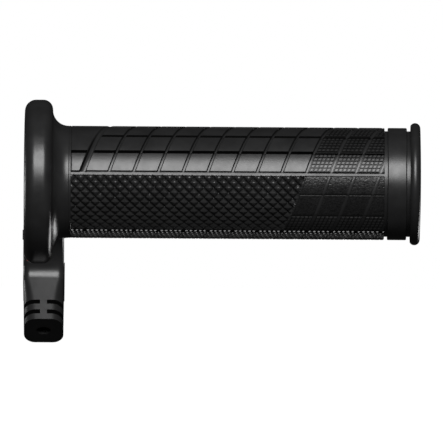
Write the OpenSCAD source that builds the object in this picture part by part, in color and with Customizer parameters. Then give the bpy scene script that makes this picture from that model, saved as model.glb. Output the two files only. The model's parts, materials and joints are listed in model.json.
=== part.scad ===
// Heated twist grip for a motorcycle throttle: rubber over a throttle tube that turns on a
// bar liner, with a printed heater between them and a lead outlet under the flange.
// The handlebar axis is X. X = 0 is the flange's back face, and the grip runs towards +X.
// Z is up and the rider sits on the -Y side. All sizes are in millimetres.

/* [Handlebar] */
// Outer diameter of the handlebar that the liner is pressed on
bar_d = 22.2; // [22.0:0.1:22.4]
// Wall of the stationary liner
liner_wall = 0.6; // [0.5:0.05:0.8]
// Radial running clearance between the liner and the throttle tube
running_gap = 0.05; // [0.02:0.01:0.10]

/* [Grip] */
// Outer diameter of the rubber sleeve
grip_d = 36; // [35:0.5:38]
// Where the patterned sleeve starts, from the flange's back face
sleeve_start = 15; // [14.5:0.5:17]
// Where the patterned sleeve ends
sleeve_end = 115.4; // [110:0.1:116]
// Outer diameter of the flange
flange_d = 52.6; // [48:0.2:56]
// Thickness of the flange
flange_w = 9; // [8:0.1:10]

/* [End cap] */
// Width of the groove between sleeve and end cap
groove_w = 1.05; // [0.8:0.05:1.2]
// Depth of both grooves
groove_depth = 1.05; // [0.8:0.05:1.3]
// Width of the smooth band between the two grooves
band_w = 6.1; // [5:0.1:7]
// Outer diameter of the bead at the end
bead_d = 39.2; // [38:0.2:41]
// Radius of the bead's round section
bead_r = 1.7; // [1.5:0.1:1.9]

/* [Lead outlet] */
// Width of the outlet along the bar
outlet_w = 13; // [12.8:0.05:13.5]
// Depth of the outlet at its seam with the boot, front to back
outlet_depth = 16.5; // [16:0.1:17.5]
// Width of the boot along the bar
boot_w = 12.8; // [12:0.05:13]
// Depth of the boot's section, front to back
boot_depth = 15.3; // [14:0.1:15.6]
// Length of the boot
boot_len = 15; // [14:0.5:18]
// Angle of the boot from straight down towards the rider
boot_tilt = 30; // [25:1:35]
// Diameter of the heater lead that the boot takes
lead_d = 4.6; // [4:0.1:5]
// Number of slot rows that let the boot bend
slot_rows = 2; // [1:1:2]

/* [Heater] */
// Number of runs in the heater track, always even
track_runs = 16; // [12:2:18]
// Width of the gap between two runs, in degrees
track_gap = 4; // [3:0.5:6]

/* [Hidden] */
$fn = 96;
e = 0.01;

// Radii of the layers, from the bar outwards
tube_wall = 1.65;
backing_t = 0.25;
track_t = 0.2;
film_cover_t = 0.3;
bar_r = bar_d / 2;
liner_r = bar_r + liner_wall;
tube_bore_r = liner_r + running_gap;
tube_r = tube_bore_r + tube_wall;
film_r = tube_r + backing_t;
track_r = film_r + track_t;
cover_r = track_r + film_cover_t;
sensor_r = cover_r - 0.05;
grip_r = grip_d / 2;
flange_r = flange_d / 2;
disc_r = 21;
seal_r = 12.7;
washer_r = 6;

// Places along the bar
liner_end = 122;
relief_w = 0.6;
tube_start = 0.5;
tube_end = 123;
seal_end = tube_start + 2;
recess_x = [14.8, 112.2];
heater_start = 18;
heater_end = 108;
film_end = 110;
tail_start = 2.3;
cover_film_x = [sleeve_start + 0.2, 112];
disc_x = [2, 4.2];
lug_x = 4.4;
lug_w = 5;
lug_angles = [10, 130, 250];
cap_start = sleeve_end + groove_w;
band_end = cap_start + band_w;
bead_x = band_end + 2.65;

// Edge radii of the flange and of the fillet that leads into the hub
flange_back_r = 3.2;
flange_front_r = 3.3;
hub_fillet_r = 5.07;

// The heater is a sheet rolled once round the tube, with its seam at sheet_from. Its tail lies in the sector
// from tail_from to tail_to. Angles run from straight down towards +Y.
sheet_from = 214;
sheet_sweep = 356;
track_from = 34;
tail_from = 10;
tail_to = 54;
strip_angles = [12, 40];
strip_sweep = 12;
pad_angles = [18, 32, 46];
pad_sweep = 8;
pad_x = [3, 6];
sensor_x = [11, 14];
sensor_sweep = 10;
run_overlap = 3;

// Lead outlet, as seen along the bar: points are [y, z]
outlet_x = -0.3;
outlet_end_x = outlet_x + outlet_w;
ledge_w = 0.3;
ledge_top = -26;
bend_r = 5.6;
bend_from = 15;
root_bend_r = 15;
root_from = 55;
root_back = [12.6, -12.6];
seam_front = [0.45, -31];
boot_across = [cos(boot_tilt), -sin(boot_tilt)];
seam_mid = seam_front + boot_across * boot_depth / 2;
bend_centre = seam_front + bend_r * [-cos(boot_tilt), sin(boot_tilt)];
boot_x = 6.4;
neck_x = 7.2;
neck_y = [2, 13];
neck_top = -8;
neck_low = -27;
neck_wall = 1.2;
outlet_wall = 1.4;
chamber_front = [4, -17];
chamber_back = [11.2, -14];
chamber_low = -24;
cover_t = 1.2;
cover_rim = 0.7;
cover_side = neck_y + [0.6, -0.6];
cover_top = -9.5;
cover_shoulder = -17;
tab_y = [6, 9];
tab_z = [-18.7, -15.5];
tab_t = 0.3;
gasket_t = 0.4;
lead_hole_r = lead_d / 2 + 1;
clamp_r = lead_d / 2 + 0.9;
clamp_start = 0.5;
clamp_len = 4;
boot_front_r = 3.6;
boot_back_r = 3.1;
boot_back_stretch = 1.9;
slot_first = 7.9;
slot_w = 1.5;
slot_pitch = 3.6;
spine_w = 2.15;
core_r = 4.4;
wire_r = 0.5;
wire_x = 4.5;
splice_bore_r = 0.55;
splice_r = 0.95;
splice_top = -24;
splice_len = 6;
splice_sleeve_t = 0.25;
sleeve_setback = 0.5;
splice_y = [4.5, 7.5, 10.5];

// ---- helpers ----

// Points of an arc round centre c, from angle a0 to angle a1
function arc(c, r, a0, a1, n = 12) =
    [for (i = [0:n]) let (a = a0 + (a1 - a0) * i / n) c + r * [cos(a), sin(a)]];

// Outline of a rectangle w by h about the origin. Corners r_top are round, corners r_low oval.
function rounded_box(w, h, r_top, r_low, low_stretch, n = 8) = concat(
    arc([w / 2 - r_top, h / 2 - r_top], r_top, 0, 90, n),
    arc([-w / 2 + r_top, h / 2 - r_top], r_top, 90, 180, n),
    [for (p = arc([0, 0], r_low, 180, 270, n)) [p[0] - w / 2 + r_low, (p[1] + r_low) * low_stretch - h / 2]],
    [for (p = arc([0, 0], r_low, 270, 360, n)) [p[0] + w / 2 - r_low, (p[1] + r_low) * low_stretch - h / 2]]);

// Turns a profile of [radius, x] points about the bar. Angle 0 is straight down, 90 is +Y.
module turned(profile, from = 0, sweep = 360)
    rotate([0, 90, 0]) rotate([0, 0, from]) rotate_extrude(angle = sweep) polygon(profile);

module ring(r0, r1, x0, x1, from = 0, sweep = 360)
    turned([[r0, x0], [r1, x0], [r1, x1], [r0, x1]], from, sweep);

module rod(r, x0, x1) translate([x0, 0, 0]) rotate([0, 90, 0]) cylinder(r = r, h = x1 - x0);

// Extrudes an outline of [y, z] points along the bar, from x0 to x1
module side_slab(points, x0, x1)
    translate([x0, 0, 0]) rotate([90, 0, 90]) linear_extrude(x1 - x0) polygon(points);

// Box between two corners
module block(x, y, z) translate([x[0], y[0], z[0]]) cube([x[1] - x[0], y[1] - y[0], z[1] - z[0]]);

// Puts children in the boot's frame: local Z runs out along the lead, local Y faces the rider
module boot_frame() translate([boot_x, seam_mid[0], seam_mid[1]]) rotate([180 - boot_tilt, 0, 0]) children();

// Round tube through a list of points, closed at both ends, as one polyhedron
function unit(v) = v / norm(v);
function heading(p, i) = unit(p[min(i + 1, len(p) - 1)] - p[max(i - 1, 0)]);
module swept_wire(p, r, sides = 8) {
    points = [for (i = [0:len(p) - 1])
        let (t = heading(p, i), u = unit(cross(t, [1, 0, 0])), v = cross(t, u))
        for (k = [0:sides - 1]) p[i] + r * (cos(360 * k / sides) * u + sin(360 * k / sides) * v)];
    faces = concat(
        [[for (k = [0:sides - 1]) k]],
        [for (i = [0:len(p) - 2]) for (k = [0:sides - 1])
            let (a = i * sides + k, b = i * sides + (k + 1) % sides) [a, a + sides, b + sides, b]],
        [[for (k = [sides - 1:-1:0]) (len(p) - 1) * sides + k]]);
    polyhedron(points, faces);
}

// ---- outlines ----

// The outlet from the side, without its boot: front sweep, seam, then back sweep
function front_sweep() = let (
        out = [cos(bend_from), sin(bend_from)],
        root_centre = bend_centre + (bend_r - root_bend_r) * out)
    concat(arc(root_centre, root_bend_r, root_from, bend_from, 10),
        arc(bend_centre, bend_r, bend_from, -boot_tilt, 10));
function outlet_outline() = concat(front_sweep(),
    arc(bend_centre, bend_r + outlet_depth, -boot_tilt, bend_from, 16), [root_back]);

// Two sweeps round the bend, a margin inside the outlet's front and back. Each stops short of the seam with
// the boot by its own angle.
function inner_sweeps(margin, front_short, back_short) = concat(
    arc(bend_centre, bend_r + margin, bend_from, front_short - boot_tilt, 8),
    arc(bend_centre, bend_r + outlet_depth - margin, back_short - boot_tilt, bend_from, 10));
function chamber_outline() = concat([chamber_front], inner_sweeps(outlet_wall, 4, 1.5), [chamber_back]);

// The cover, seen from the side
function cover_outline() = concat([[cover_side[0], cover_top], [cover_side[0], cover_shoulder]],
    inner_sweeps(cover_rim, 2, 0.8), [[cover_side[1], cover_top]]);

// Outer skin of flange, fillet and hub as [radius, x] points, without the bore
function collar_skin() = concat(
    arc([flange_r - flange_back_r, flange_back_r], flange_back_r, -90, 0),
    arc([flange_r - flange_front_r, flange_w - flange_front_r], flange_front_r, 0, 90),
    arc([grip_r + hub_fillet_r, flange_w + hub_fillet_r], hub_fillet_r, 270, 180, 14));
module collar_envelope() turned(concat([[0, 0]], collar_skin(), [[grip_r, sleeve_start], [0, sleeve_start]]));

// ---- stationary parts ----

module bar_liner() color("gainsboro") difference() {
    ring(bar_r, liner_r, 0, liner_end);
    block([-1, liner_end + 1], [-relief_w, relief_w], [0, liner_r + 1]);
}

module thrust_washer() color("whitesmoke")
    ring(washer_r, liner_r - 0.1, liner_end + 0.1, liner_end + 0.9);

// ---- tube and heater ----

module throttle_tube() color("dimgray") difference() {
    turned([[tube_bore_r, seal_end], [seal_r, seal_end], [seal_r, tube_start], [cover_r, tube_start],
        [cover_r, disc_x[0]], [disc_r, disc_x[0]], [disc_r, disc_x[1]], [cover_r, disc_x[1]],
        [cover_r, recess_x[0]], [tube_r, recess_x[0]], [tube_r, recess_x[1]], [cover_r, recess_x[1]],
        [cover_r, tube_end], [tube_bore_r, tube_end]]);
    // Channel for the heater's tail
    ring(tube_r, cover_r + 1, disc_x[0] - 0.1, sleeve_start, tail_from - 2, tail_to - tail_from + 4);
    block([1, 5], [neck_y[0] - 0.2, neck_y[1] + 0.2], [-flange_r, neck_top]);
    // Notches that the throttle drum drives the tube by
    for (a = lug_angles) rotate([a, 0, 0])
        block([0, lug_x], [bar_r, cover_r + 1], [-lug_w / 2, lug_w / 2]);
}

module dust_seal() color("black") ring(liner_r + 0.03, seal_r, tube_start + 0.1, seal_end);

module heater_backing_film() color("darkorange") difference() {
    ring(tube_r, film_r, tail_start, film_end, sheet_from, sheet_sweep);
    ring(tube_r - 1, film_r + 1, tail_start - 1, heater_start - 2, tail_to, 360 - tail_to + tail_from);
}

// One serpentine: every other gap stops short of the same end
module heater_track() color("peru") {
    pitch = sheet_sweep / track_runs;
    difference() {
        ring(film_r, track_r, heater_start, heater_end, track_from, sheet_sweep);
        for (i = [1:track_runs - 1]) let (shift = i % 2 == 0 ? run_overlap : -run_overlap)
            ring(film_r - 1, track_r + 1, heater_start + shift, heater_end + shift,
                track_from + i * pitch - track_gap / 2, track_gap);
    }
    for (a = strip_angles) ring(film_r, track_r, tail_start + 0.3, heater_start, a, strip_sweep);
}

module heater_cover_film() color("silver")
    ring(track_r, cover_r, cover_film_x[0], cover_film_x[1], sheet_from, sheet_sweep);

module thermistor() color("navy")
    ring(film_r, sensor_r, sensor_x[0], sensor_x[1], pad_angles[1] - sensor_sweep / 2, sensor_sweep);

// The outer pads sit on the track and the middle one, the sensor's, on the backing film
module solder_pads() color("silver") for (i = [0:2])
    ring(i == 1 ? film_r : track_r, sensor_r, pad_x[0], pad_x[1], pad_angles[i] - pad_sweep / 2, pad_sweep);

// ---- wiring in the outlet ----

// A wire leaves its pad square to the tube, then drops to its splice
function wire_route(i) = let (
        a = pad_angles[i], out = [0, sin(a), -cos(a)], start = [wire_x, 0, 0] + out * (cover_r + 0.06),
        end = [wire_x, splice_y[i], splice_top - 1],
        knee = start + out * 1.2, above = end + [0, 0, 6])
    [for (t = [0:0.125:1]) pow(1 - t, 3) * start + 3 * t * pow(1 - t, 2) * knee
        + 3 * t * t * (1 - t) * above + pow(t, 3) * end];

module wire_positive() color("firebrick") swept_wire(wire_route(0), wire_r);
module wire_sensor() color("gold") swept_wire(wire_route(1), wire_r);
module wire_negative() color("black") swept_wire(wire_route(2), wire_r);

module upright_tube(p, r0, r1, h) translate(p) difference() {
    cylinder(r = r1, h = h);
    translate([0, 0, -1]) cylinder(r = r0, h = h + 2);
}
module butt_splices() color("silver") for (y = splice_y)
    upright_tube([wire_x, y, splice_top - splice_len], splice_bore_r, splice_r, splice_len);
module splice_sleeves() color("darkslategray") for (y = splice_y)
    upright_tube([wire_x, y, splice_top - splice_len + sleeve_setback], splice_r, splice_r + splice_sleeve_t,
        splice_len - 2 * sleeve_setback);

// ---- rubber ----

module grip_sleeve() color("#262626") ring(cover_r, grip_r, sleeve_start, sleeve_end);

module flange_collar() color("#2a2a2a") difference() {
    turned(concat([[cover_r + 0.5, 0]], collar_skin(),
        [[grip_r, sleeve_start], [cover_r, sleeve_start], [cover_r, disc_x[1]], [disc_r, disc_x[1]],
        [disc_r, disc_x[0]], [cover_r, disc_x[0]], [cover_r, 0.5]]));
    neck(0.1, -1, -flange_r - 1);
}

module end_cap() color("#2a2a2a") {
    floor_r = grip_r - groove_depth;
    bead_c = bead_d / 2 - bead_r;
    end_x = bead_x + bead_r;
    turned(concat(
        [[cover_r, sleeve_end], [floor_r, sleeve_end], [floor_r, cap_start - 0.1], [grip_r - 0.3, cap_start],
        [grip_r, cap_start + 0.3], [grip_r, band_end - 0.3], [grip_r - 0.3, band_end],
        [floor_r, band_end + 0.3], [floor_r, bead_x - 1.35]],
        arc([bead_c, bead_x], bead_r, -50, 90, 14),
        [[bead_c * 0.75, end_x + 0.15], [bead_c * 0.4, end_x + 0.26], [0, end_x + 0.3],
        [0, tube_end + 0.1], [cover_r, tube_end + 0.1]]));
}

// ---- lead outlet ----

// The neck leads the wires up through the flange. gap widens it all round.
module neck(gap, from, low)
    block([from, neck_x + gap], [neck_y[0] - gap, neck_y[1] + gap], [low, neck_top + gap]);

module chamber(x0) {
    side_slab(chamber_outline(), x0, outlet_end_x - outlet_wall);
    block([x0, neck_x - neck_wall], neck_y + [neck_wall, -neck_wall], [chamber_low, -1]);
}

// A slice of the cover's outline, clear of the flange and of the tube
module cover_slab(from, to) difference() {
    side_slab(cover_outline(), outlet_x + from, outlet_x + to);
    difference() {
        collar_envelope();
        neck(0, -1, -flange_r - 1);
    }
    rod(cover_r + 0.1, -2, 5);
}

module outlet_housing() color("#303030") difference() {
    union() {
        difference() {
            side_slab(outlet_outline(), outlet_x, outlet_end_x);
            collar_envelope();
            rod(flange_r - flange_back_r, -1, 0.1);
        }
        neck(0, outlet_x, neck_low);
        intersection() {
            side_slab(outlet_outline(), outlet_end_x - e, outlet_end_x + ledge_w);
            block([0, 20], [-5, 20], [-45, ledge_top]);
        }
    }
    chamber(-1);
    cover_slab(-1, cover_t + gasket_t);
    rod(cover_r + 0.1, -1, outlet_end_x + 1);
    boot_frame() translate([0, 0, -4]) cylinder(r = lead_hole_r, h = 8);
}

module outlet_cover() color("#303030") {
    cover_slab(0, cover_t);
    block([outlet_x - tab_t, outlet_x + e], tab_y, tab_z);
}

module cover_gasket() color("darkred") difference() {
    cover_slab(cover_t, cover_t + gasket_t);
    chamber(outlet_x);
}

module lead_clamp() color("goldenrod") boot_frame() difference() {
    translate([0, 0, clamp_start]) cylinder(r = clamp_r, h = clamp_len);
    cylinder(r = lead_d / 2, h = clamp_start + clamp_len + 1);
}

module lead_boot() color("#242424") boot_frame() difference() {
    linear_extrude(boot_len)
        polygon(rounded_box(boot_w, boot_depth, boot_front_r, boot_back_r, boot_back_stretch));
    translate([0, 0, -1]) cylinder(r = lead_d / 2, h = boot_len + 2);
    translate([0, 0, -1]) cylinder(r = clamp_r, h = 1 + clamp_start + clamp_len);
    for (i = [0:slot_rows - 1]) translate([0, 0, slot_first + i * slot_pitch]) difference() {
        translate([-10, -10, 0]) cube([20, 20, slot_w]);
        translate([0, 0, -1]) cylinder(r = core_r, h = slot_w + 2);
        translate([-spine_w / 2, -11, -1]) cube([spine_w, 22, slot_w + 2]);
    }
}

bar_liner();
thrust_washer();
throttle_tube();
dust_seal();
heater_backing_film();
heater_track();
heater_cover_film();
thermistor();
solder_pads();
wire_positive();
wire_negative();
wire_sensor();
butt_splices();
splice_sleeves();
grip_sleeve();
flange_collar();
end_cap();
outlet_housing();
outlet_cover();
cover_gasket();
lead_clamp();
lead_boot();
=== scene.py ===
"""Looks of the heated throttle grip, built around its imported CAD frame.

Sizes are in millimetres and are turned into metres when a mesh is made. The bar's axis is X, the rider sits
on the -Y side, and an angle round the bar is measured from the rider's side, upwards.
"""

import json
import math

import bmesh
import bpy
import numpy as np
from mathutils import Matrix, Vector


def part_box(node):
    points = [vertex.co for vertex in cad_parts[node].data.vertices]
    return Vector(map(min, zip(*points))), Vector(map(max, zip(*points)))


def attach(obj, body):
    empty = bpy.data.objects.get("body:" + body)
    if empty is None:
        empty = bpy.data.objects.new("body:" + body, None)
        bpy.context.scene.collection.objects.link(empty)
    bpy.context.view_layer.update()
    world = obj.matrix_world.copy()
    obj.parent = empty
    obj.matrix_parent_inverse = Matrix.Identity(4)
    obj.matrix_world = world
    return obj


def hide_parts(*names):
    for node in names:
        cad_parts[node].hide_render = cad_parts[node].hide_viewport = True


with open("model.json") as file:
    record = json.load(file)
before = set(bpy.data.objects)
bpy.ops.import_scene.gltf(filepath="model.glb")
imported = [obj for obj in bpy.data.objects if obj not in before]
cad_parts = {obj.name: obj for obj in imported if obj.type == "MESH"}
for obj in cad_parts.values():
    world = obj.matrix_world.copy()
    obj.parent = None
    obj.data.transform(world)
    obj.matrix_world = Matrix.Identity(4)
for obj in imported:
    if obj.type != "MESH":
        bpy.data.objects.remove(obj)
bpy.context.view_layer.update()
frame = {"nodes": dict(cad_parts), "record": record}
MM = 0.001
GRIP = "grip"


def box_mm(node):
    """(lowest corner, highest corner) of a CAD node, in millimetres."""
    low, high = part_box(node)
    return [v / MM for v in low], [v / MM for v in high]


# Radii and places that the frame gives
SLEEVE_LOW, SLEEVE_HIGH = box_mm("grip_sleeve")
SLEEVE_X = (SLEEVE_LOW[0], SLEEVE_HIGH[0])
GRIP_R = SLEEVE_HIGH[2]
FLANGE_LOW, FLANGE_HIGH = box_mm("flange_collar")
FLANGE_R = min(FLANGE_HIGH[2], -FLANGE_LOW[1])
COVER_R = box_mm("heater_cover_film")[1][2]
CAP_HIGH = box_mm("end_cap")[1]
BEAD_R = CAP_HIGH[2]


# ---------------------------------------------------------------- camera, lights and floor

VIEW_CENTRE = Vector((63.3, 0, -12.4)) * MM
VIEW_WIDTH = 142.2 * MM
VIEW_DISTANCE = 5.0
ROLL = math.radians(0.4)
SENSOR = 36
CLIP_END = 50

WORLD_WHITE, WORLD_DIM = 1.0, 0.016    # what the camera sees, and what lights the grip
FLOOR_HALF, FLOOR_Z = 12.0, -0.085     # in metres
FLOOR_TONE, FLOOR_GLOW = (0.3, 0.3, 0.3, 1), 1.0
WHITE = (1, 1, 1, 1)


def add_camera():
    data = bpy.data.cameras.new("camera")
    data.sensor_width = SENSOR
    data.lens = SENSOR * VIEW_DISTANCE / VIEW_WIDTH
    data.clip_end = CLIP_END
    data.dof.use_dof = False
    camera = bpy.data.objects.new("camera", data)
    camera.matrix_world = (
        Matrix.Translation(VIEW_CENTRE - Vector((0, VIEW_DISTANCE, 0)))
        @ Matrix.Rotation(math.radians(90), 4, "X")
        @ Matrix.Rotation(ROLL, 4, "Z")
    )
    bpy.context.scene.collection.objects.link(camera)
    bpy.context.scene.camera = camera


def add_light(name, direction, distance, spread_angle, irradiance):
    """A round soft light that shines on the view's centre. direction points from the grip to the light, and
    spread_angle is half the angle that the light fills, in degrees."""
    data = bpy.data.lights.new(name, "AREA")
    data.shape = "DISK"
    data.size = 2 * distance * math.tan(math.radians(spread_angle))
    data.energy = irradiance * math.pi * distance**2
    light = bpy.data.objects.new(name, data)
    light.visible_camera = False
    direction = Vector(direction).normalized()
    light.location = VIEW_CENTRE + direction * distance
    light.rotation_euler = direction.to_track_quat("Z", "Y").to_euler()
    bpy.context.scene.collection.objects.link(light)
    return light


def add_lights():
    """A big key above the rider's side, two weak rims, and a weak bounce from below and behind."""
    key = add_light("key", (0.03, -0.866, 0.5), 3.0, 18, 3.5)
    add_light("rim_right", (0.66, 0.67, -0.33), 2.0, 12, 0.85)
    add_light("rim_left", (-0.80, 0.60, -0.04), 2.0, 6, 0.5)
    bounce = add_light("bounce", (0, 0.72, -0.69), 2.0, 10, 0.05)
    return key, bounce


def spare_from_shadow(light, pieces):
    """These pieces don't block this light, so that the flange casts no shadow on the outlet."""
    blockers = bpy.data.collections.new("key_blockers")
    for piece in pieces:
        blockers.objects.link(piece)
    for link in blockers.collection_objects:
        link.light_linking.link_state = "EXCLUDE"
    light.light_linking.blocker_collection = blockers


def shine_only_on(light, pieces):
    """This light reaches only these pieces. It lifts the bumps along the sleeve's lower edge."""
    receivers = bpy.data.collections.new("bounce_receivers")
    for piece in pieces:
        receivers.objects.link(piece)
    light.light_linking.receiver_collection = receivers


def add_world():
    """White to the camera, nearly dark to the grip, so that the rubber keeps its black sides."""
    world = bpy.data.worlds.new("studio")
    bpy.context.scene.world = world
    world.use_nodes = True
    nodes, links = world.node_tree.nodes, world.node_tree.links
    nodes.clear()
    out = nodes.new("ShaderNodeOutputWorld")
    mix = nodes.new("ShaderNodeMixShader")
    path = nodes.new("ShaderNodeLightPath")
    dim = nodes.new("ShaderNodeBackground")
    bright = nodes.new("ShaderNodeBackground")
    dim.inputs["Color"].default_value = WHITE
    dim.inputs["Strength"].default_value = WORLD_DIM
    bright.inputs["Color"].default_value = WHITE
    bright.inputs["Strength"].default_value = WORLD_WHITE
    links.new(path.outputs["Is Camera Ray"], mix.inputs["Fac"])
    links.new(dim.outputs[0], mix.inputs[1])
    links.new(bright.outputs[0], mix.inputs[2])
    links.new(mix.outputs[0], out.inputs["Surface"])


def add_floor():
    """A plain white floor under the boot. It glows, so that the grip's shadow stays faint."""
    corners = [(-1, -1), (1, -1), (1, 1), (-1, 1)]
    mesh = bpy.data.meshes.new("floor")
    mesh.from_pydata([(FLOOR_HALF * x, FLOOR_HALF * y, FLOOR_Z) for x, y in corners], [], [(0, 1, 2, 3)])
    floor = bpy.data.objects.new("floor", mesh)
    bpy.context.scene.collection.objects.link(floor)
    floor.visible_diffuse = False
    floor.visible_glossy = False
    material = bpy.data.materials.new("floor_white")
    material.use_nodes = True
    shader = material.node_tree.nodes["Principled BSDF"]
    shader.inputs["Base Color"].default_value = FLOOR_TONE
    shader.inputs["Roughness"].default_value = 1.0
    shader.inputs["Specular IOR Level"].default_value = 0.0
    shader.inputs["Emission Color"].default_value = WHITE
    shader.inputs["Emission Strength"].default_value = FLOOR_GLOW
    mesh.materials.append(material)


# ---------------------------------------------------------------- materials

NOISE_RANGE = (0.3, 0.7)               # most of a noise texture's values lie between these
DRIFT_SCALE, PATCH_SCALE = 140, 420    # noise scales of the slow tone and of the gloss
ROUGH_VARY = 0.035
BUMP_STRENGTH = 0.5
# Painted shade: the sleeve's grooves and gaps take this near-black colour and a weak reflection
GROOVE_SHADE_COLOUR = (0.003, 0.003, 0.003, 1)
PLAIN_GLOSS, GROOVE_SHADE_GLOSS = 0.5, 0.04


def new_material(name):
    """(material, its nodes, its links, its principled shader, object coordinates)."""
    material = bpy.data.materials.new(name)
    material.use_nodes = True
    nodes, links = material.node_tree.nodes, material.node_tree.links
    coords = nodes.new("ShaderNodeTexCoord").outputs["Object"]
    return material, nodes, links, nodes["Principled BSDF"], coords


def noise(nodes, links, coords, scale, detail=3.0, stretch=None):
    if stretch:
        mapping = nodes.new("ShaderNodeMapping")
        mapping.inputs["Scale"].default_value = stretch
        links.new(coords, mapping.inputs["Vector"])
        coords = mapping.outputs["Vector"]
    node = nodes.new("ShaderNodeTexNoise")
    node.inputs["Scale"].default_value = scale
    node.inputs["Detail"].default_value = detail
    links.new(coords, node.inputs["Vector"])
    return node.outputs["Fac"]


def blend_colours(nodes, links, factor, dark, light):
    node = nodes.new("ShaderNodeValToRGB")
    for stop, place, colour in zip(node.color_ramp.elements, NOISE_RANGE, (dark, light)):
        stop.position = place
        stop.color = (*colour, 1)
    links.new(factor, node.inputs["Fac"])
    return node.outputs["Color"]


def spread(nodes, links, factor, low, high):
    node = nodes.new("ShaderNodeMapRange")
    node.inputs["From Min"].default_value = NOISE_RANGE[0]
    node.inputs["From Max"].default_value = NOISE_RANGE[1]
    node.inputs["To Min"].default_value = low
    node.inputs["To Max"].default_value = high
    links.new(factor, node.inputs["Value"])
    return node.outputs["Result"]


def bump(nodes, links, height, depth_mm, strength, shader):
    node = nodes.new("ShaderNodeBump")
    node.inputs["Strength"].default_value = strength
    node.inputs["Distance"].default_value = depth_mm * MM
    links.new(height, node.inputs["Height"])
    links.new(node.outputs["Normal"], shader.inputs["Normal"])


def moulded(name, colour, rough, grain=9000, grain_depth=0.006, vary=0.18, metallic=0.0, stretch=None):
    """A moulded or drawn surface: tone and gloss drift slowly, and a fine grain breaks the highlight."""
    material, nodes, links, shader, coords = new_material(name)
    drift = noise(nodes, links, coords, DRIFT_SCALE, 4.0, stretch)
    dark = [c * (1 - vary) for c in colour]
    light = [min(1.0, c * (1 + vary)) for c in colour]
    links.new(blend_colours(nodes, links, drift, dark, light), shader.inputs["Base Color"])
    patches = noise(nodes, links, coords, PATCH_SCALE, 5.0, stretch)
    roughness = spread(nodes, links, patches, rough - ROUGH_VARY, rough + ROUGH_VARY)
    links.new(roughness, shader.inputs["Roughness"])
    fine = noise(nodes, links, coords, grain, 2.0, stretch)
    bump(nodes, links, fine, grain_depth, BUMP_STRENGTH, shader)
    shader.inputs["Metallic"].default_value = metallic
    return material


def paint_groove_shade(material, attribute):
    """Paints shade into the grooves, darker and duller. A mesh without the attribute keeps its plain finish.
    """
    nodes, links = material.node_tree.nodes, material.node_tree.links
    shader = nodes["Principled BSDF"]
    colour = shader.inputs["Base Color"].links[0].from_socket
    inside = nodes.new("ShaderNodeAttribute")
    inside.attribute_name = attribute
    mix = nodes.new("ShaderNodeMixRGB")
    mix.inputs["Color2"].default_value = GROOVE_SHADE_COLOUR
    links.new(inside.outputs["Fac"], mix.inputs["Fac"])
    links.new(colour, mix.inputs["Color1"])
    links.new(mix.outputs["Color"], shader.inputs["Base Color"])
    gloss = nodes.new("ShaderNodeMapRange")
    gloss.inputs["To Min"].default_value = PLAIN_GLOSS
    gloss.inputs["To Max"].default_value = GROOVE_SHADE_GLOSS
    links.new(inside.outputs["Fac"], gloss.inputs["Value"])
    links.new(gloss.outputs["Result"], shader.inputs["Specular IOR Level"])


MATERIALS = {
    "liner": moulded("liner", (0.72, 0.72, 0.68), 0.38, 5000, 0.004, 0.05),
    "tube": moulded("tube", (0.035, 0.035, 0.038), 0.5, 6000, 0.012, 0.2),
    "seal": moulded("seal", (0.014, 0.014, 0.014), 0.55, 7000, 0.01),
    "amber_film": moulded("amber_film", (0.52, 0.2, 0.03), 0.25, 2500, 0.01, 0.2),
    "track": moulded("track", (0.72, 0.36, 0.2), 0.35, 3000, 0.006, 0.15, 1.0, (1, 8, 8)),
    "sensor": moulded("sensor", (0.03, 0.05, 0.14), 0.3, 4000, 0.01),
    "tinned": moulded("tinned", (0.68, 0.67, 0.64), 0.34, 4000, 0.01, 0.12, 1.0),
    "wire_red": moulded("wire_red", (0.42, 0.02, 0.015), 0.42, 5000, 0.008),
    "wire_black": moulded("wire_black", (0.016, 0.016, 0.016), 0.42, 5000, 0.008),
    "wire_yellow": moulded("wire_yellow", (0.62, 0.42, 0.03), 0.42, 5000, 0.008),
    "sleeving": moulded("sleeving", (0.02, 0.024, 0.024), 0.46, 5000, 0.012),
    "grip_rubber": moulded("grip_rubber", (0.0195, 0.0195, 0.0198), 0.33),
    "outlet_plastic": moulded("outlet_plastic", (0.0195, 0.0195, 0.0198), 0.33),
    "gasket_rubber": moulded("gasket_rubber", (0.24, 0.02, 0.012), 0.5, 5000, 0.01),
    "clamp_brass": moulded("clamp_brass", (0.62, 0.44, 0.17), 0.34, 3500, 0.008, 0.12, 1.0),
    "boot_rubber": moulded("boot_rubber", (0.0185, 0.0185, 0.0188), 0.36),
}

# The sleeve's "groove" attribute carries painted shade into the rubber's colour and reflection
paint_groove_shade(MATERIALS["grip_rubber"], "groove")


def dress_frame():
    """Gives every CAD node the material of its slot."""
    for part in frame["record"]["subparts"]:
        node = frame["nodes"][part["node"]]
        for place in node.material_slots:
            place.link = "OBJECT"
            place.material = MATERIALS[part["material_slot"]]


# ---------------------------------------------------------------- mesh helpers

SHARP = math.radians(32)
CLEAN_M, CLEAN_MM = 1e-7, 1e-4         # points this near are merged, in a mesh in metres or in millimetres


def add_piece(name, mesh, node, slot_name, body=GRIP):
    """Links a mesh in metres as a piece that stands for a CAD node."""
    piece = bpy.data.objects.new(name, mesh)
    bpy.context.scene.collection.objects.link(piece)
    mesh.materials.clear()
    mesh.materials.append(MATERIALS[slot_name])
    mesh.shade_smooth()
    mesh.set_sharp_from_angle(angle=SHARP)
    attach(piece, body)
    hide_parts(node)
    return piece


def arc(centre, r, start, end, steps=10):
    """Points of an arc from start to end degrees, as (radius, x) pairs or any other pair."""
    angles = np.radians(np.linspace(start, end, steps + 1))
    return [(centre[0] + r * math.cos(a), centre[1] + r * math.sin(a)) for a in angles]


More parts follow.
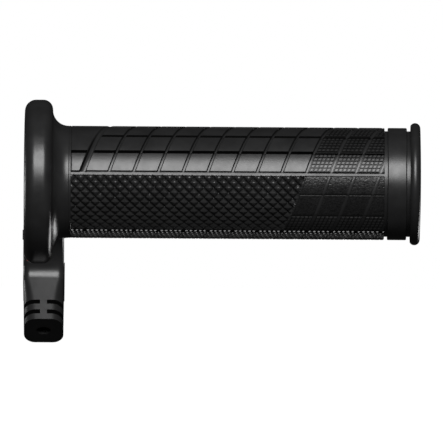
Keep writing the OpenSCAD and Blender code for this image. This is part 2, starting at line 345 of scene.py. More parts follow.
def lathe(name, profile, segments=256):
    """A closed outline of (radius, x) points turned about the bar. Points on the axis are merged."""
    count = len(profile)
    turns = np.arange(segments) * 2 * math.pi / segments
    points = [(x, -r * math.cos(a), r * math.sin(a)) for a in turns for r, x in profile]
    faces = []
    for s in range(segments):
        here, there = s * count, (s + 1) % segments * count
        for i in range(count):
            j = (i + 1) % count
            if profile[i][0] > 0 or profile[j][0] > 0:
                faces.append((here + i, here + j, there + j, there + i))
    mesh = bpy.data.meshes.new(name)
    mesh.from_pydata((np.asarray(points) * MM).tolist(), [], faces)
    clean(mesh)
    return mesh


def clean(mesh, distance=CLEAN_M):
    """Merges points that coincide and turns every face outwards."""
    bm = bmesh.new()
    bm.from_mesh(mesh)
    bmesh.ops.remove_doubles(bm, verts=bm.verts, dist=distance)
    bmesh.ops.dissolve_degenerate(bm, edges=bm.edges, dist=distance / 10)
    bmesh.ops.recalc_face_normals(bm, faces=bm.faces)
    bm.to_mesh(mesh)
    bm.free()
    mesh.update()


# ---------------------------------------------------------------- patterned sleeve

COLUMN_PITCH = 7.9
COLUMNS = range(-5, 15)                # columns of tiles along the bar, more than the sleeve shows
TURN_COLUMNS = 5                       # one turn round the bar moves a column this many pitches on
LEAN = TURN_COLUMNS * COLUMN_PITCH / 360
ROW_ANGLE = 22.5
ROWS = 16                              # rows of tiles, all the way round
FIRST_ROW = 10.2
LAST_ROW = FIRST_ROW + 180
FIRST_COLUMN_X = 27.12                 # where column 0 crosses the first row
FINE_FROM = 8                          # the column where the finer pattern starts
LOW_EDGE = FIRST_ROW - 3 * ROW_ANGLE   # knurl above, bottom band below
BACK_EDGE = FIRST_ROW - 5 * ROW_ANGLE
ARC_MM = math.radians(1) * GRIP_R      # millimetres of surface in one degree

# Depths are in millimetres. Darkness runs from 0 to 1 and is painted shade in the grooves, gaps and walls
LINE_DEPTH = 0.55                      # of the column lines between tiles
LINE_IN, LINE_OUT = 0.30, 0.62         # where a column line's wall starts and ends, from its middle
# Painted shade on the column lines' walls: full on the wall left of a line's middle, less on the right one
WALL_DARK_AT, WALL_DARK_HALF = 0.12, 0.18  # a wall's darkest place beyond LINE_IN, and the dark's reach
WALL_DARK, RIGHT_WALL_DARK = 0.9, 0.65  # of any wall, and the part of that which the right one has
ROW_DARK_FADE = 0.1                    # the dark of a row line ends this far outside its wall
ROW_OUT, ROW_DEPTH = 0.52, 0.95        # half width and depth of a row line
BRIDGE = (0.15, 0.35)                  # a column line's floor bridges the row lines up to here
BUMPS = 5                              # bumps across a tile, and along it
GAP, WIDE_GAP = (0.09, 0.15), (0.22, 0.27)  # the walls of a gap, from its middle, as parts of a bump's pitch
DARK_SHIFT, DARK_EXTRA = 0.06, 0.06    # the dark of a gap is off its middle, and reaches beyond its wall
WALL_PEAK, GAP_PEAK, GAP_POWER = 1.15, 1.25, 1.5  # a peak over 1 makes the darkest place a strip
TOP_GAPS = (0.4, 0.8)                  # depth and darkness of the gaps on the upper tiles
BESIDE_GAPS = (0.13, 0.7)              # the same in the rows next to the bottom band
FRONT_LINE = (0.2, 0.7)                # the same for the grain's first row line, in front and behind
FRONT_LINE_ROWS = (-1, -7)
LOW_OUT = 0.30                         # where the bottom band's bumps start, from a column line's middle
LOW_DEPTH, LOW_RISE = 0.2, 0.16        # depth of its gaps, and what its upper edge adds
LOW_RAMP = (LOW_EDGE - 5.5, LOW_EDGE - 3.5)
LOW_LINE, LOW_LINE_DARK = 0.31, 0.7    # half width and darkness of its column lines
# The grain's pits get painted shade, darker where they are deeper
GRAIN_DEPTH, GRAIN_VARY, GRAIN_DARK = 0.05, 0.07, 0.85
END_ROUND = 0.22                       # rounding of the sleeve's two ends

# Knurl: two sets of V grooves, falling and rising to the right, with low flat-topped pyramids between them
KNURL_PITCH = COLUMN_PITCH / 2.5       # along the bar
KNURL_ANGLE = 3 * ROW_ANGLE / 6.5      # round the bar
KNURL_SPACING = 2.27                   # between the grooves of one set
FLANK_DEPTH, FLAT_TOP = 0.62, 0.2      # a flank's depth, and the part of it that the flat top cuts off
KNURL_LIFT = 0.1                       # brings the flat tops up to the surface
FALLING_WALL, FALLING_DEPTH = (0.08, 0.36), 0.26
RISING_WALL, RISING_DEPTH, RISING_DARK = (0.05, 0.26), 0.14, 0.7

# Wide groove that cuts the smooth land off from the tiles. Its places are millimetres along the bar, from the
# line before the first column, and it gets shallower and its painted shade paler between two angles.
WIDE_START, WIDE_BOTTOM, WIDE_END = -1.65, -1.30, 0.65
WIDE_DEPTH, WIDE_RISE_END = 0.9, 0.3
WIDE_LIP = (0.35, 0.60)                # where it runs out into the tile
WIDE_SHALLOW, WIDE_SHALLOW_AT = 0.65, (28, 60)
WIDE_DARK_FULL, WIDE_DARK_FADE = -1.45, (-1.25, -0.75)
WIDE_LIP_DARK, WIDE_LIP_AT = 0.6, 0.42
WIDE_PALE, WIDE_PALE_AT = 0.5, (40, 70)

# Plain bands between the tiles and the knurl, in front and behind. The last two are one place, a turn apart.
BAND_MIDDLES = (FIRST_ROW - 1.0, LAST_ROW, LAST_ROW - 360)
BAND_WALL = (0.50, 0.72)
BAND_EDGE_AT, BAND_EDGE_HALF, BAND_EDGE_DARK = 0.61, 0.09, 0.9
BAND_CLEAR = 0.7                       # no other darkness this near a band's middle

# Mesh
EVEN = np.arange(7) / 7                # mesh lines over one bump, evenly spread
ROW_SNAP, COLUMN_SNAP = 0.30, 0.16     # mesh lines this near a knurl line move onto it, in degrees and in mm
END_CLEAR = 0.03                       # mesh points this near an end move onto it
SLEEVE_SHARP = math.radians(26)
GRAIN_SEED = 11


def ramp(start, end, value):
    t = np.clip((value - start) / (end - start), 0, 1)
    return t * t * (3 - 2 * t)


def straight(start, end, value):
    """0 up to start, 1 from end on, and a straight line between them."""
    return np.clip((value - start) / (end - start), 0, 1)


def wall_dark(distance):
    """The painted shade of a wall at a distance from its darkest place."""
    return np.clip(WALL_PEAK - np.abs(distance) / WALL_DARK_HALF, 0, 1)


def coarse_gaps(across, along, wall, edge=LINE_OUT, stagger=0.0):
    """(gap, dark) among the five rows of five bumps in a tile. gap is 1 in the gaps and 0 on the bumps, and
    dark is painted shade, which leans towards the side of a gap that lies under and to the left of a bump.
    across and along are a point's place in its tile. wall is where a gap's walls start and end, as parts of a
    bump's pitch from the middle of the gap. edge is how far from a column line the bumps start, and every
    other row is moved by stagger."""
    a = np.clip((across - edge) / (COLUMN_PITCH - 2 * edge), 0, 1) * BUMPS
    b = np.clip((along - ROW_OUT) / (ROW_ANGLE * ARC_MM - 2 * ROW_OUT), 0, 1) * BUMPS
    a = a + stagger * (np.floor(b) % 2)
    off_a, off_b = a - np.round(a), b - np.round(b)
    to_gap = np.minimum(np.abs(off_a), np.abs(off_b))
    gap = 1 - straight(*wall, to_gap)
    reach = wall[1] + DARK_EXTRA
    dark_a = np.clip(GAP_PEAK - np.abs(off_a - DARK_SHIFT) / reach, 0, 1)
    dark_b = np.clip(GAP_PEAK - np.abs(off_b - DARK_SHIFT) / reach, 0, 1)
    return gap, np.maximum(dark_a, dark_b) ** GAP_POWER


def knurl(x, theta):
    """(depth, painted shade) of the diamond knurl. The shade lies in its grooves, heavier in the falling set.
    """
    p, q = (x - SLEEVE_X[0]) / KNURL_PITCH, (theta - FIRST_ROW) / KNURL_ANGLE
    to_falling = (0.5 - np.abs((p + q) % 1 - 0.5)) * KNURL_SPACING
    to_rising = (0.5 - np.abs((p - q) % 1 - 0.5)) * KNURL_SPACING
    flank = 1 - np.minimum(np.minimum(to_falling, to_rising) / (0.5 * KNURL_SPACING), 1)
    falling, rising = 1 - ramp(*FALLING_WALL, to_falling), 1 - ramp(*RISING_WALL, to_rising)
    pyramids = FLANK_DEPTH * np.maximum(flank, FLAT_TOP) - KNURL_LIFT
    grooves = np.maximum(FALLING_DEPTH * falling, RISING_DEPTH * rising)
    return pyramids + grooves, np.maximum(falling, RISING_DARK * rising)


def wide_groove(side, theta):
    """(depth, painted shade) of the wide groove, at a distance along the bar from its column line."""
    left = WIDE_DEPTH * straight(WIDE_START, WIDE_BOTTOM, side)
    floor = LINE_DEPTH + (WIDE_DEPTH - LINE_DEPTH) * (1 - straight(WIDE_BOTTOM, WIDE_RISE_END, side)) ** 2
    depth = np.where(side < WIDE_BOTTOM, left, floor) * (1 - straight(*WIDE_LIP, side))
    depth = depth * (1 - WIDE_SHALLOW * ramp(*WIDE_SHALLOW_AT, theta))
    dark = straight(WIDE_START, WIDE_DARK_FULL, side) * (1 - ramp(*WIDE_DARK_FADE, side))
    dark = np.maximum(dark, WIDE_LIP_DARK * wall_dark(side - WIDE_LIP_AT))
    return depth, dark * (1 - WIDE_PALE * ramp(*WIDE_PALE_AT, theta))


def to_nearest(values, start, step, reach):
    """Moves the values that lie within reach of a line of a regular set onto that line."""
    line = start + step * np.round((values - start) / step)
    return np.where(np.abs(values - line) <= reach, line, values)


def sleeve_surface(x, theta):
    """(how far the sleeve's surface lies below its outer radius, how much shade is painted there from 0 to
    1).
    """
    u = (x - FIRST_COLUMN_X - LEAN * (theta - FIRST_ROW)) / COLUMN_PITCH
    t = (theta - FIRST_ROW) / ROW_ANGLE
    column_gap = np.abs(u - np.round(u)) * COLUMN_PITCH
    row_gap = np.abs(t - np.round(t)) * ROW_ANGLE * ARC_MM
    across, along = (u % 1) * COLUMN_PITCH, (t % 1) * ROW_ANGLE * ARC_MM
    fine = u >= FINE_FROM
    top = theta >= FIRST_ROW
    low = (theta < LOW_EDGE) & (theta > BACK_EDGE)
    beside_low = fine & (theta < LOW_EDGE + ROW_ANGLE) & (theta > BACK_EDGE - ROW_ANGLE)
    front_line = np.isin(np.round(t), FRONT_LINE_ROWS)
    grain = np.random.RandomState(GRAIN_SEED).rand(*x.shape)

    # Lines between tiles
    off_bridge = straight(*BRIDGE, column_gap)
    row_v = (1 - np.clip(row_gap / ROW_OUT, 0, 1)) * off_bridge
    line_dark = np.clip((ROW_OUT + ROW_DARK_FADE - row_gap) / ROW_DARK_FADE, 0, 1) * off_bridge
    column_v = 1 - straight(LINE_IN, LINE_OUT, column_gap)
    wall = wall_dark(column_gap - LINE_IN - WALL_DARK_AT) * np.where(u < np.round(u), 1, RIGHT_WALL_DARK)
    tiles = np.maximum(LINE_DEPTH * column_v, ROW_DEPTH * row_v)
    tiles_dark = np.maximum(WALL_DARK * wall, line_dark)

    # Bumps, grain and knurl, each with its own lines
    on_tile = column_gap > LINE_OUT - 0.01
    gaps, gaps_dark = coarse_gaps(across, along, GAP)
    gaps_dark = gaps_dark * on_tile
    open_gaps, open_dark = coarse_gaps(across, along, WIDE_GAP, LOW_OUT, 0.5)
    narrow_v = 1 - np.clip(column_gap / LOW_LINE, 0, 1)
    low_depth = LOW_DEPTH + LOW_RISE * ramp(*LOW_RAMP, theta)
    grain_depth = (GRAIN_DEPTH + GRAIN_VARY * grain) * (1 - column_v)
    knurl_depth, knurl_dark = knurl(x, theta)
    zones = [
        (low, low_depth * np.maximum(open_gaps, narrow_v), np.maximum(open_dark, LOW_LINE_DARK * narrow_v)),
        (beside_low, BESIDE_GAPS[0] * np.maximum(gaps, column_v), BESIDE_GAPS[1] * gaps_dark),
        (top & fine, np.maximum(TOP_GAPS[0] * gaps, tiles), np.maximum(TOP_GAPS[1] * gaps_dark, line_dark)),
        (top, tiles, tiles_dark),
        (fine, np.maximum(grain_depth, FRONT_LINE[0] * row_v * front_line),
         np.maximum(GRAIN_DARK * grain * (1 - column_v), FRONT_LINE[1] * line_dark * front_line)),
    ]
    depth = np.select([z[0] for z in zones], [z[1] for z in zones], knurl_depth)
    dark = np.select([z[0] for z in zones], [z[2] for z in zones], knurl_dark)

    # Smooth land with the first row line only, then the wide groove
    side = (u + 1) * COLUMN_PITCH
    first_line = np.round(t) == 1
    wide, wide_dark = wide_groove(side, theta)
    places = [top & (side < WIDE_START), top & (side >= WIDE_START) & (side < WIDE_END)]
    depth = np.select(places, [ROW_DEPTH * row_v * first_line, np.maximum(wide, 0)], depth)
    dark = np.select(places, [line_dark * first_line, wide_dark], dark)

    # Plain bands with painted shade along their edges
    for middle in BAND_MIDDLES:
        off = np.abs(theta - middle) * ARC_MM
        band = 1 - straight(*BAND_WALL, off)
        depth = depth * (1 - band) + LINE_DEPTH * band
        dark = dark * (off > BAND_CLEAR) + BAND_EDGE_DARK * (np.abs(off - BAND_EDGE_AT) < BAND_EDGE_HALF)
    edge = np.minimum(x - SLEEVE_X[0], SLEEVE_X[1] - x)
    return np.maximum(depth, END_ROUND * (1 - ramp(0.0, END_ROUND, edge))), np.clip(dark, 0, 1)


def walled(gap):
    """Mesh lines over one bump, gathered at the walls of its gaps."""
    return np.array([0, gap[0], gap[1], 0.38, 0.62, 1 - gap[1], 1 - gap[0]])


def tile_lines(length, before, pattern):
    """Mesh lines over one tile and over the line before it, whose half is given by the places before."""
    edge = before[-1]
    bump_pitch = (length - 2 * edge) / BUMPS
    inside = edge + bump_pitch * np.concatenate([k + pattern for k in range(BUMPS)])
    return np.concatenate([before[:-1], inside, length - np.array(before[:0:-1])])


def sleeve_lines():
    """(column positions in pitches, row angles in degrees) of the mesh, with lines along groove walls."""
    columns = []
    for k in COLUMNS:
        pattern = walled(GAP) if k >= FINE_FROM else EVEN
        lines = tile_lines(COLUMN_PITCH, [0, LINE_IN, (LINE_IN + LINE_OUT) / 2, LINE_OUT], pattern)
        columns.append(k + lines / COLUMN_PITCH)
    rows = []
    for k in range(ROWS):
        start = LAST_ROW - 360 + ROW_ANGLE * k
        low = BACK_EDGE - 0.1 < start < LOW_EDGE - 0.1
        knurled = start < FIRST_ROW - 0.1 and not low
        pattern = EVEN if knurled else walled(WIDE_GAP if low else GAP)
        lines = start + tile_lines(ROW_ANGLE * ARC_MM, [0, ROW_OUT / 2, ROW_OUT], pattern) / ARC_MM
        rows.append(to_nearest(lines, FIRST_ROW, KNURL_ANGLE / 2, ROW_SNAP) if knurled else lines)
    return np.concatenate(columns), np.concatenate(rows)


def build_sleeve():
    """The sleeve as one closed mesh: a slanted grid outside, a plain bore, and a ring at each end."""
    columns, rows = sleeve_lines()
    per_tile = len(columns) // len(COLUMNS)
    x = FIRST_COLUMN_X + COLUMN_PITCH * columns[None, :] + LEAN * (rows[:, None] - FIRST_ROW)
    knurled = (rows[:, None] < FIRST_ROW) & (rows[:, None] > LOW_EDGE) | (rows[:, None] < BACK_EDGE)
    knurled = knurled & (columns[None, :] < FINE_FROM - 0.2)
    x = np.where(knurled, to_nearest(x, SLEEVE_X[0], KNURL_PITCH / 2, COLUMN_SNAP), x)

    # Numbers of the points: those inside the sleeve's length, then one for each row at each end
    x0, x1 = SLEEVE_X
    inside = (x > x0 + END_CLEAR) & (x < x1 - END_CLEAR)
    ids = np.full(x.shape, -1)
    ids[inside] = np.arange(inside.sum())
    theta = np.broadcast_to(rows[:, None], x.shape)
    xs, ts = x[inside], theta[inside]
    count, n_rows = len(xs), len(rows)
    start_ids, end_ids = count + np.arange(n_rows), count + n_rows + np.arange(n_rows)
    for j in range(n_rows):
        ids[j, x[j] <= x0 + END_CLEAR] = start_ids[j]
        ids[j, x[j] >= x1 - END_CLEAR] = end_ids[j]
    xs = np.concatenate([xs, np.full(n_rows, x0), np.full(n_rows, x1)])
    ts = np.concatenate([ts, rows, rows])
    depth, dark = sleeve_surface(xs, ts)
    rs = GRIP_R - depth
    for edge_x in SLEEVE_X:
        xs = np.concatenate([xs, np.full(n_rows, edge_x)])
        ts = np.concatenate([ts, rows])
        rs = np.concatenate([rs, np.full(n_rows, COVER_R)])
        dark = np.concatenate([dark, np.zeros(n_rows)])
    angle = np.radians(ts)
    points = np.stack([xs, -rs * np.cos(angle), rs * np.sin(angle)], axis=1)

    # Outer faces. The last row joins the first one, a turn's columns further on.
    shift = TURN_COLUMNS * per_tile
    upper = np.vstack([ids[1:], np.concatenate([ids[0, shift:], np.full(shift, end_ids[0])])[None, :]])
    quads = np.stack([ids[:, :-1], ids[:, 1:], upper[:, 1:], upper[:, :-1]], axis=-1).reshape(-1, 4)
    flat = (quads[:, 0] == quads[:, 1]) | (quads[:, 2] == quads[:, 3])
    faces = quads[~flat].tolist()
    for a, b, c, d in quads[flat].tolist():
        corners = [a] + [v for v, before in ((b, a), (c, b), (d, c)) if v != before]
        if len(set(corners)) == 3:
            faces.append(corners)

    # Bore and end rings
    inner_start = count + 2 * n_rows + np.arange(n_rows)
    inner_end = inner_start + n_rows
    for j in range(n_rows):
        k = (j + 1) % n_rows
        faces.append([start_ids[j], start_ids[k], inner_start[k], inner_start[j]])
        faces.append([inner_end[j], inner_end[k], end_ids[k], end_ids[j]])
        faces.append([inner_start[j], inner_start[k], inner_end[k], inner_end[j]])
    mesh = bpy.data.meshes.new("sleeve")
    mesh.from_pydata((points * MM).tolist(), [], [list(map(int, f)) for f in faces])
    # The painted shade of the grooves, gaps and walls goes into the "groove" attribute
    mesh.attributes.new("groove", "FLOAT", "POINT").data.foreach_set("value", dark.astype(np.float32))
    clean(mesh)
    piece = add_piece("sleeve_pattern", mesh, "grip_sleeve", "grip_rubber")
    mesh.set_sharp_from_angle(angle=SLEEVE_SHARP)
    return piece


# ---------------------------------------------------------------- flange and end cap

FLANGE_W = 9.0                         # thickness of the flange
FILLET_R = 5.07                        # between the flange and its hub
DISC_X, DISC_R = (2.0, 4.2), 21.0      # slot for the throttle tube's disc
HUB_LINE_X, HUB_LINE_DEPTH, HUB_LINE_HALF = 14.35, 0.10, 0.14
WINDOW_GAP, WINDOW_LOW = 0.1, -30      # clearance and lower end of the window for the outlet's neck


def build_flange():
    """The flange, its fillet and its hub with one fine line, hollow for the disc and open for the neck."""
    back_r, front_r, chamfer, hub_chamfer = 3.6, 3.1, 0.5, 0.14
    profile = [(COVER_R + chamfer, 0.0)]
    profile += arc((FLANGE_R - back_r, back_r), back_r, -90, 0, 16)
    profile += arc((FLANGE_R - front_r, FLANGE_W - front_r), front_r, 0, 90, 16)
    profile += arc((GRIP_R + FILLET_R, FLANGE_W + FILLET_R), FILLET_R, 270, 180, 20)
    profile += [(GRIP_R, HUB_LINE_X - HUB_LINE_HALF), (GRIP_R - HUB_LINE_DEPTH, HUB_LINE_X)]
    profile += [(GRIP_R, HUB_LINE_X + HUB_LINE_HALF), (GRIP_R, SLEEVE_X[0] - hub_chamfer)]
    profile += [(GRIP_R - hub_chamfer, SLEEVE_X[0]), (COVER_R, SLEEVE_X[0])]
    profile += [(COVER_R, DISC_X[1]), (DISC_R, DISC_X[1]), (DISC_R, DISC_X[0]), (COVER_R, DISC_X[0])]
    profile += [(COVER_R, chamfer)]
    window = neck(-1, WINDOW_GAP, WINDOW_LOW)
    mesh = combine(in_millimetres(lathe("flange", profile)), "DIFFERENCE", window)
    return add_piece("flange", to_metres(mesh), "flange_collar", "grip_rubber")


def build_end_cap():
    """Groove, plain band, second groove and a round bead, closed by a slightly domed face."""
    groove, band, depth, bead_r, edge_r = 1.05, 6.1, 1.05, 1.7, 0.35
    face_t, dome = 4.2, 0.3
    x = SLEEVE_X[1]
    floor_r = GRIP_R - depth
    tube_end = CAP_HIGH[0] - face_t
    bead = (BEAD_R - bead_r, CAP_HIGH[0] - dome - bead_r)
    band_start, band_end = x + groove, x + groove + band
    profile = [(COVER_R, x), (floor_r, x), (floor_r, band_start - 0.02)]
    profile += arc((GRIP_R - edge_r, band_start + 0.33), edge_r, -70, 0, 6)
    profile += arc((GRIP_R - edge_r, band_end - edge_r), edge_r, 0, 80, 6)
    profile += [(floor_r, band_end + 0.06), (floor_r, bead[1] - 1.45)]
    profile += arc(bead, bead_r, -58, 90, 22)
    profile += [(bead[0] * f, CAP_HIGH[0] - dome * f**2.2) for f in (0.9, 0.75, 0.6, 0.45, 0.3, 0.15)]
    profile += [(0.0, CAP_HIGH[0]), (0.0, tube_end), (COVER_R, tube_end)]
    return add_piece("end_bead", lathe("end_cap", profile), "end_cap", "grip_rubber")


# ---------------------------------------------------------------- lead outlet, seen from the side as (y, z)

LEAD_EXIT = next(m for m in frame["record"]["mounts"] if m["name"] == "lead_exit")
BOOT_LENGTH = 15.0
BOOT_DEPTH = 15.3
OUTLET_DEPTH = 16.5
OUTLET_X = (-0.3, 12.7)
BOOT_X = LEAD_EXIT["pos_m"][0] / MM
ALONG = np.array(LEAD_EXIT["axis"][1:])            # out along the lead
ACROSS = np.array([-ALONG[1], ALONG[0]])           # from the boot's front to its back
SEAM_MIDDLE = np.array(LEAD_EXIT["pos_m"][1:]) / MM - ALONG * BOOT_LENGTH
SEAM_FRONT = SEAM_MIDDLE - ACROSS * BOOT_DEPTH / 2
TILT = math.degrees(math.atan2(-ACROSS[1], ACROSS[0]))

# The outlet's front runs from its root in the flange round ROOT_R and then BEND_R down to the seam
BEND_R, ROOT_R = 5.6, 15.0
BEND_CENTRE = SEAM_FRONT - BEND_R * ACROSS
JOIN_ANGLE = 15                        # where the two arcs meet, from the bend's centre
ROOT_ANGLE, ROOT_STEPS, BEND_STEPS = 55, 10, 18
BACK_TOP = np.array([12.6, -12.6])     # where the outlet's back starts
SKIN_CORNERS = (2.2, 2.2), (2.0, 2.0)  # corner radii in front and behind
SKIN_SPARE = 0.25                      # the skin is made this much too wide, and cut off flat
WALL = 1.4
COVER_T, GASKET_T = 1.2, 0.4
COVER_INSET = 0.7                      # from the outlet's skin to the cover's outline
COVER_LEFT, COVER_RIGHT = 2.6, 12.4    # y of the cover's upper part, which lies in the neck
COVER_TOP, COVER_SHOULDER = -9.5, -17
BAR_GAP = 0.1                          # between the cover film's radius and the outlet
TAB = ((6, 9), (-18.7, -15.5))         # small raised tab on the cover
TAB_RISE = 0.3
NECK_X, NECK_Y, NECK_Z = 7.2, (2.0, 13.0), (-27, -8.0)
NECK_WALL, POCKET_Z = 1.2, (-24, -1)
ENVELOPE_BACK_R, ENVELOPE_FRONT_R = 3.2, 3.3
NUDGE = 0.02                           # keeps two faces that would lie in one plane just apart
LEAD_R, PASSAGE_R, CLAMP_R, CLAMP_END = 2.3, 3.3, 3.2, 4.5


def around(centre, r, degrees):
    a = math.radians(degrees)
    return np.array([centre[0] + r * math.cos(a), centre[1] + r * math.sin(a)])


def loft(rings):
    """A closed solid in millimetres through rings of (x, y, z) points."""
    count = len(rings[0])
    points = [tuple(map(float, p)) for ring in rings for p in ring]
    faces = [list(range(count)), [(len(rings) - 1) * count + i for i in range(count)]]
    for s in range(len(rings) - 1):
        for i in range(count):
            j = (i + 1) % count
            faces.append([s * count + i, s * count + j, (s + 1) * count + j, (s + 1) * count + i])
    mesh = bpy.data.meshes.new("loft")
    mesh.from_pydata(points, [], faces)
    clean(mesh, CLEAN_MM)
    return mesh


def slab(outline, x0, x1):
    """A side outline of (y, z) points, drawn along the bar."""
    return loft([[(x, y, z) for y, z in outline] for x in (x0, x1)])


def block(x, y, z):
    return slab([(y[0], z[0]), (y[1], z[0]), (y[1], z[1]), (y[0], z[1])], *x)


def combine(mesh, operation, *others):
    """Adds other meshes to a mesh, cuts them from it, or keeps what they share."""
    work = bpy.data.objects.new("work", mesh)
    bpy.context.scene.collection.objects.link(work)
    tools = []
    for other in others:
        tool = bpy.data.objects.new("tool", other)
        bpy.context.scene.collection.objects.link(tool)
        tools.append(tool)
        modifier = work.modifiers.new("combine", "BOOLEAN")
        modifier.operation = operation
        modifier.solver = "EXACT"
        modifier.object = tool
    bpy.context.view_layer.update()
    result = bpy.data.meshes.new_from_object(work.evaluated_get(bpy.context.evaluated_depsgraph_get()))
    for thing in [work] + tools:
        bpy.data.objects.remove(thing)
    result.materials.clear()
    clean(result, CLEAN_MM)
    return result


def to_metres(mesh):
    mesh.transform(Matrix.Scale(MM, 4))
    mesh.update()
    return mesh


def in_millimetres(mesh):
    mesh.transform(Matrix.Scale(1 / MM, 4))
    mesh.update()
    return mesh


def rounded_outline(x0, x1, depth, front, back, steps=8):
    """Outline of (x, distance from the front) points with oval corners. front and back are corner radii."""
    quarter = np.radians(np.linspace(0, 90, steps + 1))
    c, s = np.cos(quarter), np.sin(quarter)
    (fx, fy), (bx, by) = front, back
    corners = [
        (x0 + fx - fx * c, fy - fy * s),
        (x1 - fx + fx * s, fy - fy * c),
        (x1 - bx + bx * c, depth - by + by * s),
        (x0 + bx - bx * s, depth - by + by * c),
    ]
    return np.concatenate([np.stack(corner, axis=1) for corner in corners])


def section(front, back, outline, depth):
    """Places an outline in the plane that holds the bar's direction and the line from front to back."""
    return [(x, *(front + (back - front) * q / depth)) for x, q in outline]


def outlet_skin(x0, x1):
    """The outlet's outer skin from its root in the flange down to its seam with the boot."""
    join = around(BEND_CENTRE, BEND_R, JOIN_ANGLE)
    root_centre = join - ROOT_R * (join - BEND_CENTRE) / BEND_R
    back_join = around(BEND_CENTRE, BEND_R + OUTLET_DEPTH, JOIN_ANGLE)
    rings = []
    for k in range(ROOT_STEPS):
        front = around(root_centre, ROOT_R, ROOT_ANGLE + (JOIN_ANGLE - ROOT_ANGLE) / ROOT_STEPS * k)
        back = BACK_TOP + (back_join - BACK_TOP) * k / ROOT_STEPS
        depth = float(np.linalg.norm(back - front))
        rings.append(section(front, back, rounded_outline(x0, x1, depth, *SKIN_CORNERS), depth))
    for angle in np.linspace(JOIN_ANGLE, -TILT, BEND_STEPS + 1):
        front = around(BEND_CENTRE, BEND_R, angle)
        back = around(BEND_CENTRE, BEND_R + OUTLET_DEPTH, angle)
        outline = rounded_outline(x0, x1, OUTLET_DEPTH, *SKIN_CORNERS)
        rings.append(section(front, back, outline, OUTLET_DEPTH))
    return loft(rings)


def collar_envelope():
    """Solid round the whole collar, in millimetres."""
    back_r, front_r = ENVELOPE_BACK_R, ENVELOPE_FRONT_R
    profile = [(0.0, 0.0)] + arc((FLANGE_R - back_r, back_r), back_r, -90, 0, 10)
    profile += arc((FLANGE_R - front_r, FLANGE_W - front_r), front_r, 0, 90, 10)
    profile += arc((GRIP_R + FILLET_R, FLANGE_W + FILLET_R), FILLET_R, 270, 180, 14)
    profile += [(GRIP_R, SLEEVE_X[0]), (0.0, SLEEVE_X[0])]
    return in_millimetres(lathe("envelope", profile, 128))


def rod(r, x0, x1):
    """A round solid on the bar's axis."""
    return in_millimetres(lathe("rod", [(0.0, x0), (r, x0), (r, x1), (0.0, x1)], 96))


def inside_outline(start, end, inset, front_trim, back_trim):
    """An outline inside the outlet: points before it, its front and back at an inset, and points after it."""
    front_r, back_r = BEND_R + inset, BEND_R + OUTLET_DEPTH - inset
    front = [around(BEND_CENTRE, front_r, a) for a in np.linspace(JOIN_ANGLE, -TILT + front_trim, 9)]
    back = [around(BEND_CENTRE, back_r, a) for a in np.linspace(-TILT + back_trim, JOIN_ANGLE, 11)]
    return start + front + back + end


def chamber(x0):
    """The room for the splices."""
    return slab(inside_outline([(4, -17)], [(11.2, -14)], WALL, 4, 1.5), x0, OUTLET_X[1] - WALL)


def cover_outline():
    start = [(COVER_LEFT, COVER_TOP), (COVER_LEFT, COVER_SHOULDER)]
    return inside_outline(start, [(COVER_RIGHT, COVER_TOP)], COVER_INSET, 2, 0.8)


def neck(x0, gap=0.0, low=NECK_Z[0]):
    """The outlet's neck through the flange, or with a gap the window for it."""
    return block((x0, NECK_X + gap), (NECK_Y[0] - gap, NECK_Y[1] + gap), (low, NECK_Z[1] + gap))


def window_collar():
    """The collar envelope less the window that the outlet's neck passes through."""
    return combine(collar_envelope(), "DIFFERENCE", neck(-1))


def boot_solid(outline, start, end):
    """An outline of (x, distance from the boot's front) points, drawn along the lead."""
    rings = []
    for z in (start, end):
        front = SEAM_FRONT + ALONG * z
        rings.append([(x, *(front + ACROSS * q)) for x, q in outline])
    return loft(rings)


def round_outline(r):
    angles = np.radians(np.arange(0, 360, 5))
    return [(BOOT_X + r * math.cos(a), BOOT_DEPTH / 2 + r * math.sin(a)) for a in angles]


def build_outlet():
    """The housing with its neck and chamber, and the cover that closes its left side."""
    beyond_width = block((OUTLET_X[1], 14), (-10, 30), (-26, -5))
    behind_flange = rod(FLANGE_R - ENVELOPE_BACK_R - 0.3, -1, 0.1)
    skin = combine(outlet_skin(OUTLET_X[0], OUTLET_X[1] + SKIN_SPARE), "DIFFERENCE",
                   beyond_width, collar_envelope(), behind_flange)
    body = combine(skin, "UNION", neck(OUTLET_X[0] + NUDGE))
    pocket = block((-1, NECK_X - NECK_WALL), (NECK_Y[0] + NECK_WALL, NECK_Y[1] - NECK_WALL), POCKET_Z)
    rebate = slab(cover_outline(), -1, OUTLET_X[0] + COVER_T + GASKET_T)
    exit_hole = boot_solid(round_outline(PASSAGE_R), -4, 4)
    bar_clearance = rod(COVER_R + BAR_GAP, -1, 20)
    body = combine(body, "DIFFERENCE", chamber(-1), pocket, rebate, bar_clearance, exit_hole)
    add_piece("outlet_shell", to_metres(body), "outlet_housing", "outlet_plastic")

    plate = combine(outlet_skin(*OUTLET_X), "UNION", neck(OUTLET_X[0] + NUDGE))
    plate = combine(plate, "INTERSECT", slab(cover_outline(), -1, OUTLET_X[0] + COVER_T))
    plate = combine(plate, "DIFFERENCE", window_collar(), rod(COVER_R + BAR_GAP, -2, 5))
    plate = combine(plate, "UNION", block((OUTLET_X[0] - TAB_RISE, OUTLET_X[0] + 0.1), *TAB))
    add_piece("outlet_lid", to_metres(plate), "outlet_cover", "outlet_plastic")


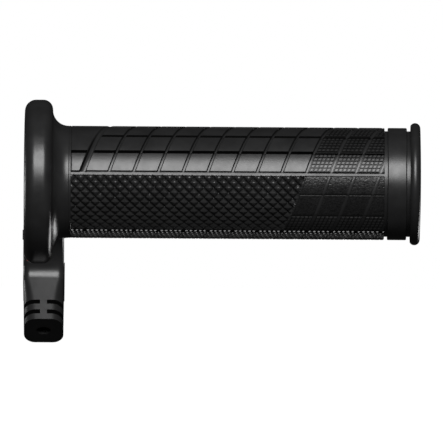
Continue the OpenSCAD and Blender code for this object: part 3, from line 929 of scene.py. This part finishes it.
# The boot's corner radii grow from BOOT_CORNER at the seam, and its left side moves in
BOOT_CORNER, FRONT_GROWTH, BACK_GROWTH, GROWTH_POWER = 2.2, (1.7, 3.8), (1.3, 2.9), 2.2
BOOT_RINGS = 30                        # none of them in the plane of a slot's wall
BOOT_LEFT, BOOT_LEFT_MOVE, BOOT_RIGHT = -0.2, 0.3, 6.4
FIRST_SLOT, SLOT_W, SLOT_PITCH, SPINE_W, CORE_R = 7.9, 1.5, 3.6, 2.15, 4.4
SLOT_REACH = 11                        # past the boot's outside


def build_boot():
    """The flexible boot: its rounded corners widen towards the end, and two rows of slots let it bend."""
    rings = []
    for z in np.linspace(0, BOOT_LENGTH, BOOT_RINGS):
        grow = 1 - (1 - z / BOOT_LENGTH) ** GROWTH_POWER
        front = [BOOT_CORNER + growth * grow for growth in FRONT_GROWTH]
        back = [BOOT_CORNER + growth * grow for growth in BACK_GROWTH]
        x0 = BOOT_LEFT + BOOT_LEFT_MOVE * z / BOOT_LENGTH
        at = SEAM_FRONT + ALONG * z
        outline = rounded_outline(x0, BOOT_X + BOOT_RIGHT, BOOT_DEPTH, front, back)
        rings.append([(x, *(at + ACROSS * q)) for x, q in outline])
    body = loft(rings)
    reach = math.degrees(math.acos(SPINE_W / 2 / CORE_R))
    middle = BOOT_DEPTH / 2
    cutters = []
    for row in range(2):
        start = FIRST_SLOT + row * SLOT_PITCH
        for side in (-1, 1):
            inner = [(BOOT_X + side * CORE_R * math.cos(a), middle + CORE_R * math.sin(a))
                     for a in np.radians(np.linspace(-reach, reach, 15))]
            x, far_x, far_q = BOOT_X + side * SPINE_W / 2, side * SLOT_REACH, middle + SLOT_REACH
            outline = [(x, -3)] + inner + [(x, far_q), (x + far_x, far_q), (x + far_x, -3)]
            cutters.append(boot_solid(outline, start, start + SLOT_W))
    cutters.append(boot_solid(round_outline(LEAD_R), -2, BOOT_LENGTH + 2))
    cutters.append(boot_solid(round_outline(CLAMP_R), -1, CLAMP_END))
    body = combine(body, "DIFFERENCE", *cutters)
    add_piece("boot", to_metres(body), "lead_boot", "boot_rubber")


# ---------------------------------------------------------------- scene

bpy.context.scene.view_settings.view_transform = "Standard"
add_camera()
add_world()
key_light, bounce_light = add_lights()
add_floor()
dress_frame()
sleeve = build_sleeve()
spare_from_shadow(key_light, [sleeve, build_flange()])
shine_only_on(bounce_light, [sleeve])
build_end_cap()
build_outlet()
build_boot()
